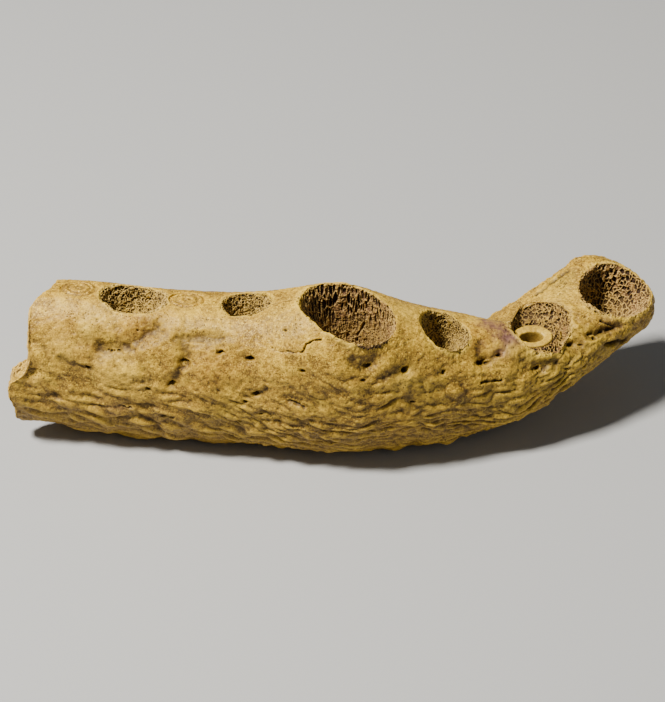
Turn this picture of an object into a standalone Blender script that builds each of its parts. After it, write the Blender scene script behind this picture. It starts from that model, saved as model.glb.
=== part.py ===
"""Front half of a fossil crocodilian's right lower jaw bone (dentary), with eight tooth sockets.

The bone is shaped in its own anatomical frame, in millimetres: X runs forward from the broken
end to the tip, Y runs inward from the cheek side to the tongue side, and Z is up. An empty then
scales it to metres and lays it down as it rests on a flat floor, with the world's origin under
the middle of it.

The solids are the bone, the hollow root left in socket 2, and the root stumps that fill sockets
6 and 8. Sockets are counted from the tip backwards, as a crocodile's teeth are.
"""

from collections import namedtuple
from math import atan2, cos, pi, radians, sin, tau

import bmesh
import bpy
from mathutils import Euler, Matrix, Vector, noise

MM = 0.001

# ------------------------------------------------------- driving dimensions (mm and degrees)
# The resting bone leans back onto the foot of its symphysis and tips a little along its length.
REST_LEAN = 0.9
REST_PITCH = 0.0

# Cross-sections, each square to the bone's line in plan. x and y place it, bottom and top are
# its heights, waist the height where it is widest, cheek and tongue its half-widths. The next
# three say how square its corners are: 2 is an ellipse, more is squarer, less is a slope. roll
# turns it so that its top faces the cheek side.
Section = namedtuple(
    "Section", "x y bottom waist top cheek tongue cheek_top tongue_top cheek_bottom roll"
)
SECTIONS = (
    Section(-8.0, 12.5, 6.0, 21.0, 41.0, 13.0, 13.5, 2.4, 3.2, 2.1, 0.0),
    Section(20.0, 8.5, 0.7, 20.0, 43.6, 13.0, 14.5, 2.4, 3.2, 2.1, 0.0),
    Section(45.0, 5.5, 0.0, 19.0, 42.1, 13.5, 15.5, 2.4, 3.2, 2.1, 0.0),
    Section(66.0, 3.0, 0.0, 19.0, 43.0, 14.0, 15.5, 2.5, 3.4, 2.1, 0.0),
    Section(88.0, 1.0, 0.0, 20.0, 48.3, 16.5, 14.2, 3.2, 3.1, 2.1, 0.0),
    Section(106.0, 3.0, 0.0, 18.0, 42.2, 15.5, 21.0, 2.6, 1.85, 2.1, 0.0),
    Section(120.0, 6.0, 0.4, 15.0, 37.2, 14.5, 28.0, 2.4, 1.4, 1.95, 0.0),
    Section(136.0, 10.5, 4.9, 13.8, 33.3, 14.0, 33.0, 2.4, 1.0, 1.6, 0.0),
    Section(150.0, 19.0, 10.0, 22.0, 32.8, 13.0, 29.0, 2.4, 1.3, 1.5, 2.0),
    Section(162.0, 30.0, 15.5, 26.5, 35.0, 12.5, 19.0, 2.4, 2.1, 1.7, 11.0),
)
MID_HEIGHT = 22.0
RING_POINTS = 44
RING_SPACING = 3.0
TONGUE_BOTTOM = 3.2
TIP_LENGTH = 11.0
TIP_RINGS = 6
TIP_TURN = 80.0
TIP_BLUNTNESS = 0.75

# The flat where the left and right jaw bones met: a plane through SYMPHYSIS_POINT, turned from X
# by SYMPHYSIS_YAW, which reaches SYMPHYSIS_BACK behind that point. The block that cuts it goes
# SYMPHYSIS_BLOCK ahead of the point, inward, and in height about MID_HEIGHT.
SYMPHYSIS_POINT = (155.0, 41.0)
SYMPHYSIS_YAW = 21.0
SYMPHYSIS_BACK = 66.0
SYMPHYSIS_BLOCK = (60.0, 80.0, 120.0)

# Tooth sockets: x, y and z are at the rim, along and across are the mouth's radii, turn is the
# direction of along in plan, and forward and outward tilt the mouth to the tip and the cheek.
Socket = namedtuple("Socket", "x y z along across depth turn forward outward")
SOCKETS = {
    1: Socket(162.2, 26.4, 33.3, 9.6, 8.7, 14.0, 42.0, 8.0, 22.0),
    2: Socket(141.6, 10.4, 32.2, 8.0, 8.0, 11.0, 22.0, 4.0, 22.0),
    3: Socket(116.1, 1.6, 36.9, 6.1, 6.5, 10.0, 18.0, 2.0, 15.0),
    4: Socket(91.0, -2.3, 44.8, 12.1, 8.5, 20.0, -32.0, 2.0, 14.0),
    5: Socket(64.5, 5.6, 41.3, 5.7, 5.0, 8.0, -6.0, 0.0, 4.0),
    7: Socket(35.2, 8.2, 42.4, 7.7, 5.8, 9.0, -6.0, 0.0, 3.0),
}
# The seats of the two stumps, flush with the rim, and of the hollow root, down inside socket 2.
SEATS = {
    2: Socket(139.1, 8.5, 30.1, 5.3, 3.8, 8.0, 12.0, 3.0, 14.0),
    6: Socket(48.8, 8.2, 41.6, 4.6, 3.3, 4.0, -6.0, 0.0, 0.0),
    8: Socket(20.8, 11.2, 43.2, 4.7, 3.6, 4.0, -6.0, 0.0, 0.0),
}
MOUTH_FLARE = 1.12
FLOOR_SHARE = 0.55

# Two hollows on the tongue side, each a swept round form through (x, y, z, radius): the groove
# for Meckel's cartilage, and the trough that the tongue lies in above the symphysis.
GROOVE = (
    (-12.0, 24.0, 15.0, 7.0), (30.0, 21.0, 14.0, 6.5), (70.0, 17.0, 11.0, 5.0),
    (92.0, 17.0, 9.0, 3.0), (104.0, 21.0, 8.0, 1.4),
)
GROOVE_HEIGHT = 1.3
TROUGH = (
    (88.0, 25.0, 32.0, 7.0), (100.0, 27.5, 30.0, 13.5), (111.0, 30.5, 31.5, 15.0),
    (122.0, 34.5, 35.0, 16.0), (140.0, 43.0, 47.0, 18.0), (156.0, 54.0, 61.0, 18.0),
)
TROUGH_HEIGHT = 1.0
SWEEP_SPACING = 4.5

# The break at the back: how far forward it lies at each height, as (height, x). Towards the
# tongue side, between the places of BREAK_BLEND, it keeps at least as far forward as BREAK_BACK.
# BREAK_BLOCK is the size of the block behind it, whose middle across is at BREAK_MIDDLE.
BREAK_LINE = (
    (-10.0, 5.5), (3.0, 3.6), (8.0, 2.6), (14.0, 2.3), (21.2, 1.3), (23.9, 5.2),
    (27.0, 7.2), (33.0, 7.8), (37.0, 8.0), (40.0, 8.0), (42.5, 8.3), (56.0, 12.0),
)
BREAK_BACK = 14.0
BREAK_BLEND = (7.0, 13.0)
BREAK_ROUGHNESS = 0.9
BREAK_LUMP = 5.0
BREAK_CELL = 3.0
BREAK_BLOCK = (30.0, 72.0, 66.0)
BREAK_MIDDLE = 12.0

FIT_GAP = 0.3
SHARP_ANGLE = radians(40.0)


# ------------------------------------------------------------------------------ scene
def clear_scene():
    for obj in list(bpy.data.objects):
        bpy.data.objects.remove(obj, do_unlink=True)


def new_collection(name):
    collection = bpy.data.collections.new(name)
    bpy.context.scene.collection.children.link(collection)
    return collection


def new_material(name, colour, roughness):
    material = bpy.data.materials.new(name)
    material.use_nodes = True
    shader = material.node_tree.nodes["Principled BSDF"]
    shader.inputs["Base Color"].default_value = (*colour, 1.0)
    shader.inputs["Roughness"].default_value = roughness
    shader.inputs["Metallic"].default_value = 0.0
    return material


def object_from_bmesh(name, bm, collection, rest):
    mesh = bpy.data.meshes.new(name)
    bmesh.ops.recalc_face_normals(bm, faces=bm.faces)
    bm.to_mesh(mesh)
    bm.free()
    return object_from_mesh(name, mesh, collection, rest)


def object_from_mesh(name, mesh, collection, rest):
    mesh.shade_smooth()
    mesh.set_sharp_from_angle(angle=SHARP_ANGLE)
    obj = bpy.data.objects.new(name, mesh)
    collection.objects.link(obj)
    obj.parent = rest
    return obj


def make_cutter(obj):
    obj.hide_render = True
    obj.display_type = "WIRE"
    return obj


def cut(body, cutter):
    modifier = body.modifiers.new("cut_" + cutter.name, "BOOLEAN")
    modifier.operation = "DIFFERENCE"
    modifier.solver = "EXACT"
    modifier.object = cutter


# ------------------------------------------------------------------------------ the bone
def smooth_between(rows, x):
    """The rows' values at x, on a smooth curve through them (Catmull-Rom, by x)."""
    last = len(rows) - 1
    index = max(i for i in range(last) if i == 0 or rows[i][0] <= x)
    before, start = rows[max(index - 1, 0)], rows[index]
    end, after = rows[index + 1], rows[min(index + 2, last)]
    span = end[0] - start[0]
    t = (x - start[0]) / span
    values = []
    for b, s, e, a in zip(before, start, end, after):
        slope_start = (e - b) / (end[0] - before[0]) * span
        slope_end = (a - s) / (after[0] - start[0]) * span
        values.append(
            (2 * t**3 - 3 * t**2 + 1) * s
            + (t**3 - 2 * t**2 + t) * slope_start
            + (3 * t**2 - 2 * t**3) * e
            + (t**3 - t**2) * slope_end
        )
    return values


def section_at(x):
    return Section(*smooth_between(SECTIONS, x))


def heading_at(x):
    """The bone's direction in plan, as an angle from X towards the tongue side."""
    step = 1.0
    low = max(x - step, SECTIONS[0].x)
    high = min(x + step, SECTIONS[-1].x)
    return atan2(section_at(high).y - section_at(low).y, high - low)


def outline_point(section, angle):
    """(inward, height) on the section's outline, from the tongue side round over the top."""
    c, s = cos(angle), sin(angle)
    if s >= 0:
        power = section.tongue_top if c >= 0 else section.cheek_top
        height = section.top - section.waist
    else:
        power = TONGUE_BOTTOM if c >= 0 else section.cheek_bottom
        height = section.waist - section.bottom
    width = section.tongue if c >= 0 else section.cheek
    inward = width * abs(c) ** (2 / power) * (1 if c >= 0 else -1)
    return inward, section.waist + height * abs(s) ** (2 / power) * (1 if s >= 0 else -1)


def ring_points(section, heading, advance=0.0, size=1.0):
    across = Vector((-sin(heading), cos(heading), 0.0))
    along = Vector((cos(heading), sin(heading), 0.0))
    roll = radians(section.roll)
    points = []
    for i in range(RING_POINTS):
        inward, height = outline_point(section, tau * i / RING_POINTS)
        height -= section.waist
        level = inward * cos(roll) - height * sin(roll)
        rise = inward * sin(roll) + height * cos(roll)
        point = Vector((section.x, section.y, section.waist + rise * size))
        points.append(point + across * level * size + along * advance)
    return points


def bone_rings():
    first, last = SECTIONS[0].x, SECTIONS[-1].x
    count = round((last - first) / RING_SPACING)
    rings = []
    for i in range(count + 1):
        x = first + (last - first) * i / count
        rings.append(ring_points(section_at(x), heading_at(x)))
    end, heading = SECTIONS[-1], heading_at(last)
    for i in range(1, TIP_RINGS + 1):
        turn = radians(TIP_TURN) * i / TIP_RINGS
        size = cos(turn) ** TIP_BLUNTNESS
        rings.append(ring_points(end, heading, TIP_LENGTH * sin(turn), size))
    return rings


def loft(rings):
    bm = bmesh.new()
    rows = [[bm.verts.new(point) for point in ring] for ring in rings]
    for near, far in zip(rows, rows[1:]):
        for i in range(len(near)):
            j = (i + 1) % len(near)
            bm.faces.new((near[i], far[i], far[j], near[j]))
    bm.faces.new(rows[0])
    bm.faces.new(rows[-1])
    return bm


# ------------------------------------------------------------------------------ the cutters
def symphysis_cutter(collection, rest):
    """Everything beyond the plane where the two jaw bones met."""
    ahead, depth, height = SYMPHYSIS_BLOCK
    bm = bmesh.new()
    bmesh.ops.create_cube(bm, size=1.0)
    bmesh.ops.scale(bm, vec=(SYMPHYSIS_BACK + ahead, depth, height), verts=bm.verts)
    bmesh.ops.translate(bm, vec=((ahead - SYMPHYSIS_BACK) / 2, depth / 2, 0.0), verts=bm.verts)
    cutter = object_from_bmesh("symphysis_cutter", bm, collection, rest)
    cutter.location = (*SYMPHYSIS_POINT, MID_HEIGHT)
    cutter.rotation_euler = (0.0, 0.0, radians(SYMPHYSIS_YAW))
    return make_cutter(cutter)


def break_cutter(collection, rest):
    """A block behind the rough face of the break."""
    depth, width, height = BREAK_BLOCK
    near, far = BREAK_BLEND
    bm = bmesh.new()
    bmesh.ops.create_grid(
        bm, x_segments=round(height / BREAK_CELL), y_segments=round(width / BREAK_CELL), size=0.5
    )
    for vert in bm.verts:
        z = vert.co.x * height + MID_HEIGHT
        y = vert.co.y * width + BREAK_MIDDLE
        lump = noise.noise(Vector((0.0, y, z)) / BREAK_LUMP) * BREAK_ROUGHNESS
        share = min(max((y - near) / (far - near), 0.0), 1.0)
        forward = smooth_between(BREAK_LINE, z)[1]
        vert.co = (forward + share * max(BREAK_BACK - forward, 0.0) + lump, y, z)
    face = bmesh.ops.extrude_face_region(bm, geom=bm.faces[:])
    back = [item for item in face["geom"] if isinstance(item, bmesh.types.BMVert)]
    for vert in back:
        vert.co.x = -depth
    return make_cutter(object_from_bmesh("break_cutter", bm, collection, rest))


def socket_profile(reach, top, floor):
    """(radius, height) down a pit's wall, flared at the mouth and rounded at the floor."""
    points = [(0.0, top), (MOUTH_FLARE * 1.25, top), (MOUTH_FLARE, 1.0), (1.0, -0.12 * reach)]
    points += [(1.0 + (floor - 1.0) * 0.45, -0.5 * reach), (floor, -0.82 * reach)]
    for i in range(1, 4):
        turn = pi / 2 * i / 3
        points.append((floor * cos(turn), -0.82 * reach - 0.18 * reach * sin(turn)))
    return points


def turned(name, profile, steps, collection, rest):
    """A profile of (radius, height) points, first and last on the axis, turned full circle."""
    mesh = bpy.data.meshes.new(name)
    verts = [(radius, 0.0, height) for radius, height in profile]
    mesh.from_pydata(verts, [(i, i + 1) for i in range(len(verts) - 1)], [])
    obj = object_from_mesh(name, mesh, collection, rest)
    screw = obj.modifiers.new("turn", "SCREW")
    screw.axis = "Z"
    screw.steps = screw.render_steps = steps
    screw.use_merge_vertices = True
    screw.merge_threshold = 0.00001
    return obj


def place_in_mouth(obj, socket, along, across):
    tilt = Euler((radians(socket.outward), radians(socket.forward), 0.0)).to_matrix()
    turn = Matrix.Rotation(radians(socket.turn), 3, "Z")
    obj.rotation_euler = (turn @ tilt).to_euler()
    obj.location = (socket.x, socket.y, socket.z)
    obj.scale = (along, across, 1.0)


def socket_cutter(number, socket, collection, rest):
    profile = socket_profile(socket.depth, 9.0, FLOOR_SHARE)
    cutter = turned(f"socket_cutter_{number}", profile, 26, collection, rest)
    place_in_mouth(cutter, socket, socket.along, socket.across)
    return make_cutter(cutter)


def swept_cutter(name, route, stretch, collection, rest):
    """A round bar along the route, made taller by stretch."""
    curve = bpy.data.curves.new(name, "CURVE")
    curve.dimensions = "3D"
    curve.bevel_depth = 1.0
    curve.bevel_resolution = 4
    curve.use_fill_caps = True
    line = curve.splines.new("POLY")
    first, last = route[0][0], route[-1][0]
    steps = round((last - first) / SWEEP_SPACING)
    line.points.add(steps)
    for i, point in enumerate(line.points):
        x, y, z, radius = smooth_between(route, first + (last - first) * i / steps)
        point.co = (x, y, z / stretch, 1.0)
        point.radius = radius
    guide = bpy.data.objects.new(name + "_guide", curve)
    collection.objects.link(guide)
    mesh = bpy.data.meshes.new_from_object(
        guide.evaluated_get(bpy.context.evaluated_depsgraph_get())
    )
    bpy.data.objects.remove(guide)
    bm = bmesh.new()
    bm.from_mesh(mesh)
    bmesh.ops.remove_doubles(bm, verts=bm.verts, dist=0.001)
    bmesh.ops.scale(bm, vec=(1.0, 1.0, stretch), verts=bm.verts)
    return make_cutter(object_from_bmesh(name, bm, collection, rest))


def seat_cutter(number, seat, collection, rest):
    profile = [(0.0, 6.0), (1.0, 6.0), (1.0, -seat.depth * 0.6), (0.7, -seat.depth)]
    profile.append((0.0, -seat.depth))
    cutter = turned(f"seat_cutter_{number}", profile, 28, collection, rest)
    place_in_mouth(cutter, seat, seat.along, seat.across)
    return make_cutter(cutter)


# ------------------------------------------------------------------------------ roots
def root_stub(number, seat, collection, rest):
    """The broken root that fills its socket level with the rim, domed a little in the middle."""
    gap = FIT_GAP
    profile = [(0.0, 0.5), (0.4, 0.35), (0.8, -0.1), (1.0, -0.6)]
    profile += [(0.9, -seat.depth * 0.6), (0.6, -seat.depth + gap), (0.0, -seat.depth + gap)]
    stub = turned(f"root_stub_{number}", profile, 28, collection, rest)
    place_in_mouth(stub, seat, seat.along - gap, seat.across - gap)
    return stub


def hollow_root(number, seat, collection, rest):
    """The open shell of a root whose crown is gone, with its pulp cavity."""
    bottom = -seat.depth + FIT_GAP
    profile = [(0.0, -5.0), (0.3, -4.6), (0.46, -2.5), (0.6, -0.5), (0.72, 0.1), (0.88, 0.1)]
    profile += [(1.0, -0.6), (1.0, bottom * 0.6), (0.7, bottom), (0.0, bottom)]
    root = turned(f"tooth_root_{number}", profile, 28, collection, rest)
    place_in_mouth(root, seat, seat.along - FIT_GAP, seat.across - FIT_GAP)
    return root


# ------------------------------------------------------------------------------ all of it
def lay_down(rest, parts):
    """Sets the resting tilt, then puts the world's origin under the middle of the bone."""
    rest.rotation_euler = (-radians(REST_LEAN), radians(REST_PITCH), 0.0)
    bpy.context.view_layer.update()
    graph = bpy.context.evaluated_depsgraph_get()
    points = []
    for part in parts:
        seen = part.evaluated_get(graph)
        points += [seen.matrix_world @ vert.co for vert in seen.data.vertices]
    for axis in range(2):
        values = [point[axis] for point in points]
        rest.location[axis] -= (min(values) + max(values)) / 2
    rest.location.z -= min(point.z for point in points)
    bpy.context.view_layer.update()


def main():
    clear_scene()
    parts = new_collection("fossil_crocodile_jaw")
    cutters = new_collection("cutters")
    rest = bpy.data.objects.new("rest_pose", None)
    parts.objects.link(rest)
    rest.scale = (MM, MM, MM)

    bone = object_from_bmesh("dentary", loft(bone_rings()), parts, rest)
    cut(bone, symphysis_cutter(cutters, rest))
    cut(bone, swept_cutter("groove_cutter", GROOVE, GROOVE_HEIGHT, cutters, rest))
    cut(bone, swept_cutter("trough_cutter", TROUGH, TROUGH_HEIGHT, cutters, rest))
    for number, socket in SOCKETS.items():
        cut(bone, socket_cutter(number, socket, cutters, rest))
    for number, seat in SEATS.items():
        cut(bone, seat_cutter(number, seat, cutters, rest))
    cut(bone, break_cutter(cutters, rest))
    bone.data.materials.append(new_material("fossil_bone", (0.44, 0.30, 0.12), 0.62))

    root = hollow_root(2, SEATS[2], parts, rest)
    root.data.materials.append(new_material("dentine", (0.62, 0.50, 0.20), 0.5))
    stub_material = new_material("root_stump", (0.48, 0.36, 0.17), 0.6)
    for number in (6, 8):
        stub = root_stub(number, SEATS[number], parts, rest)
        stub.data.materials.append(stub_material)

    lay_down(rest, [bone])


main()
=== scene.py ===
"""The looks of a fossil crocodile jaw: weathered bone, spongy tooth sockets and broken roots.

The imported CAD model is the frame. Its bone is covered by a finely meshed skin, on which the
furrows, nerve openings, cracks and pores are carved, and the three roots get modelled pieces of
their own. Sizes are in millimetres in the bone's own frame, as in the CAD: X to the tip, Y to
the tongue side and Z up. World coordinates are metres.
"""

from collections import namedtuple
from itertools import product
from math import cos, pi, radians, sin, tau

import bmesh
import bpy
import numpy as np
from mathutils import Euler, Matrix, Vector
from mathutils.bvhtree import BVHTree


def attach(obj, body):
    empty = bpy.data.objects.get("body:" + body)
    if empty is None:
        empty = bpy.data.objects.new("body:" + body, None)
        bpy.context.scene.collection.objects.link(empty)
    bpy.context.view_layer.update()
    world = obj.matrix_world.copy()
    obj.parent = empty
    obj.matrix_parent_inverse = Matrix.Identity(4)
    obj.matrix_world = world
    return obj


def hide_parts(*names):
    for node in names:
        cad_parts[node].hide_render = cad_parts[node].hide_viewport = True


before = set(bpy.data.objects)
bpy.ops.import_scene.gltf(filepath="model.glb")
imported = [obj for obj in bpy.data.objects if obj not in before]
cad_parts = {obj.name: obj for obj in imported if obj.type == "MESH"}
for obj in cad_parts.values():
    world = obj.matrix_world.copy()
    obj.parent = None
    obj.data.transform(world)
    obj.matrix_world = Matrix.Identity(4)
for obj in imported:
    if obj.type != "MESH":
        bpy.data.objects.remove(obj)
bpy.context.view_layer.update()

# ------------------------------------------------------------- the bone's own frame
MM = 0.001
REST_LEAN = radians(0.9)
BONE_ORIGIN = np.array((-87.662, -14.611, 0.139))
LEAN = np.array(Matrix.Rotation(-REST_LEAN, 3, "X"))

# The middle line of the bone in plan, as (x, y), and its reach past both ends.
MIDDLE_LINE = (
    (-30.0, 15.5), (-8.0, 12.5), (20.0, 8.5), (45.0, 5.5), (66.0, 3.0), (88.0, 1.0),
    (106.0, 3.0), (120.0, 6.0), (136.0, 10.5), (150.0, 19.0), (162.0, 30.0), (186.0, 54.0),
)
LINE_STEP = 0.5
LINE_SMOOTHING = 24
WAIST_HEIGHT = ((0.0, 20.0), (110.0, 18.0), (136.0, 14.0), (150.0, 22.0), (166.0, 27.0))
GIRTH_RADIUS = 17.0

# ------------------------------------------------------------- the camera
FRAME_SIZE = (665, 702)
AIM_PIXEL = (332.5, 353.0)
AIM_POINT = (86.6, 12.0, 22.0)
CAMERA_DISTANCE = 600.0
CAMERA_RISE = radians(35.9)
FOCAL_PIXELS = 2260.7
SENSOR_WIDTH = 36.0

# ------------------------------------------------------------- sockets and roots
# x, y and z are at the rim, along and across are the mouth's radii, turn is the direction of
# along in plan, and forward and outward tilt the mouth to the tip and to the cheek.
Socket = namedtuple("Socket", "x y z along across depth turn forward outward")
SOCKETS = {
    1: Socket(162.2, 26.4, 33.3, 9.6, 8.7, 14.0, 42.0, 8.0, 22.0),
    2: Socket(141.6, 10.4, 32.2, 8.0, 8.0, 11.0, 22.0, 4.0, 22.0),
    3: Socket(116.1, 1.6, 36.9, 6.1, 6.5, 10.0, 18.0, 2.0, 15.0),
    4: Socket(91.0, -2.3, 44.8, 12.1, 8.5, 20.0, -32.0, 2.0, 14.0),
    5: Socket(64.5, 5.6, 41.3, 5.7, 5.0, 8.0, -6.0, 0.0, 4.0),
    7: Socket(35.2, 8.2, 42.4, 7.7, 5.8, 9.0, -6.0, 0.0, 3.0),
}
ROOTS = {
    2: Socket(139.1, 8.5, 30.1, 5.3, 3.8, 8.0, 12.0, 3.0, 14.0),
    6: Socket(48.8, 8.2, 41.6, 4.6, 3.3, 4.0, -6.0, 0.0, 0.0),
    8: Socket(20.8, 11.2, 43.2, 4.7, 3.6, 4.0, -6.0, 0.0, 0.0),
}
# How far each root's foot ends over the bottom of its seat.
FOOT_GAP = 0.6

# How spongy each socket is: the pores' spacing, how much taller than wide they are, how deep
# they go, and the shares of rose, olive and umber in the colour of its lining.
Lining = namedtuple("Lining", "spacing stretch depth rose olive umber")
LININGS = {
    1: Lining(1.1, 1.5, 0.7, 0.9, 0.0, 0.4),
    2: Lining(1.0, 1.2, 0.8, 0.8, 0.0, 1.0),
    3: Lining(0.7, 1.2, 0.25, 0.0, 0.8, 0.3),
    4: Lining(0.85, 4.2, 0.6, 0.95, 0.0, 0.65),
    5: Lining(0.7, 1.2, 0.3, 0.0, 0.8, 0.1),
    7: Lining(0.75, 1.1, 0.35, 0.0, 0.8, 0.1),
}

# ------------------------------------------------------------- marks on the cheek face
# Each is placed by its pixel in the front view. Openings of nerves and vessels: radius and depth.
Opening = namedtuple("Opening", "px py radius depth")
OPENINGS = (
    Opening(220, 353, 0.75, 1.5), Opening(249, 360, 0.7, 1.4), Opening(184, 363, 0.8, 1.4),
    Opening(171, 387, 0.65, 1.4), Opening(147, 391, 0.55, 1.0), Opening(219, 392, 0.5, 1.2),
    Opening(302, 373, 0.6, 1.3), Opening(254, 398, 0.75, 1.3), Opening(245, 405, 0.5, 1.0),
    Opening(138, 341, 0.3, 0.6), Opening(87, 369, 0.55, 0.9), Opening(369, 368, 0.8, 1.1),
    Opening(408, 371, 0.9, 1.8), Opening(446, 373, 0.65, 1.4), Opening(484, 361, 1.0, 1.9),
    Opening(490, 363, 0.7, 1.3), Opening(540, 369, 0.7, 1.4), Opening(569, 370, 0.4, 0.8),
    Opening(577, 346, 0.7, 1.5), Opening(585, 346, 0.5, 1.0), Opening(597, 337, 0.5, 1.0),
    Opening(501, 354, 0.6, 0.9), Opening(364, 382, 0.5, 0.8), Opening(259, 418, 0.5, 0.7),
    Opening(104, 353, 0.3, 0.6), Opening(108, 354, 0.33, 0.6), Opening(112, 354, 0.33, 0.7),
    Opening(117, 354, 0.38, 0.7), Opening(285, 330, 0.35, 0.6), Opening(222, 307, 0.3, 0.6),
    Opening(414, 405, 0.45, 0.7), Opening(238, 426, 0.4, 0.8), Opening(137, 329, 0.25, 0.5),
)

# How an opening is stretched along X, Y and Z: below 1 it is longer that way.
OPENING_SHAPE = (0.75, 0.9, 1.2)

# Thin lines of carving: width and depth, and the pixels that the line runs through.
Line = namedtuple("Line", "width depth route")
CRACKS = (
    Line(0.28, 0.8, ((272, 348), (282, 352), (291, 353), (301, 353), (305, 351), (306, 345),
                    (314, 341), (320, 340))),
    Line(0.26, 0.8, ((364, 322), (361, 329), (358, 333), (357, 341))),
)
SLITS = (
    Line(0.55, 1.3, ((593, 333), (600, 330), (608, 329), (618, 327))),
    Line(0.5, 1.0, ((603, 320), (609, 323), (617, 324))),
    Line(0.45, 0.7, ((609, 346), (618, 343), (628, 341))),
    Line(0.45, 1.0, ((483, 384), (492, 383), (502, 381))),
    Line(0.45, 0.9, ((161, 421), (172, 420))),
    Line(0.4, 0.9, ((119, 411), (128, 412))),
    Line(0.4, 0.8, ((288, 404), (296, 407), (303, 410))),
)
GUTTERS = (
    Line(1.8, 1.1, ((180, 340), (187, 354), (184, 363))),
    Line(1.2, 0.9, ((184, 363), (178, 374), (171, 387))),
    Line(2.3, 1.7, ((100, 350), (114, 350), (134, 342), (156, 328))),
    Line(1.6, 0.9, ((190, 338), (205, 338), (222, 338))),
    Line(0.9, 0.5, ((254, 398), (265, 392))),
    Line(1.2, 0.4, ((486, 363), (480, 353), (482, 343))),
    Line(1.1, 0.6, ((486, 363), (494, 359), (503, 351))),
    Line(0.6, 0.3, ((536, 294), (552, 282), (566, 271))),
    Line(1.8, 0.6, ((524, 361), (540, 366), (556, 363))),
    Line(1.6, 0.6, ((408, 371), (396, 373), (386, 379))),
    Line(1.5, 0.6, ((355, 362), (369, 368), (376, 358))),
    Line(1.2, 0.6, ((60, 360), (74, 368), (88, 371))),
    Line(1.4, 0.8, ((590, 335), (598, 331), (610, 328), (622, 325))),
    Line(1.0, 0.6, ((608, 346), (618, 344), (628, 341))),
    Line(1.2, 0.6, ((560, 352), (572, 350), (582, 344))),
)

# Soft hollows (depth above 0) and swellings (below 0) of the cheek face: radius and depth.
Hollow = namedtuple("Hollow", "px py radius depth")
HOLLOWS = (
    Hollow(84, 345, 5.0, 0.5), Hollow(128, 366, 6.0, -0.4), Hollow(210, 372, 7.0, -0.4),
    Hollow(236, 335, 6.0, -0.3), Hollow(372, 362, 5.0, 0.6), Hollow(408, 367, 4.5, 0.8),
    Hollow(405, 383, 4.5, -0.5), Hollow(340, 366, 6.0, -0.4), Hollow(484, 352, 4.0, 0.35),
    Hollow(470, 378, 6.0, -0.25), Hollow(530, 366, 4.5, 0.5), Hollow(602, 329, 3.0, 0.4),
    Hollow(600, 341, 2.6, -0.3), Hollow(150, 356, 6.0, -0.5), Hollow(300, 345, 6.0, -0.3),
    Hollow(205, 385, 5.0, -0.4), Hollow(148, 378, 4.5, -0.35), Hollow(225, 372, 4.0, 0.4),
    Hollow(120, 395, 4.0, -0.35), Hollow(276, 372, 5.0, -0.35), Hollow(330, 385, 5.0, -0.3),
    Hollow(455, 356, 5.0, 0.4),
)

# Where a socket's lip lies further over than its round mouth: from and to pixels, and radius.
Shift = namedtuple("Shift", "px py to_px to_py radius")
LIP_SHIFTS = (
    Shift(525, 317, 522, 312, 3.4), Shift(538, 312, 537, 306, 4.4), Shift(556, 309, 556, 305, 4.0),
    Shift(577, 324, 572, 323, 4.0), Shift(572, 342, 568, 341, 3.6), Shift(475, 325, 467, 325, 4.6),
    Shift(467, 317, 462, 318, 3.0),
)

# The flat where the left and right jaw bones met: a plane's point and its turn from X.
SYMPHYSIS_POINT = (155.0, 41.0)
SYMPHYSIS_YAW = 21.0

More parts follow.
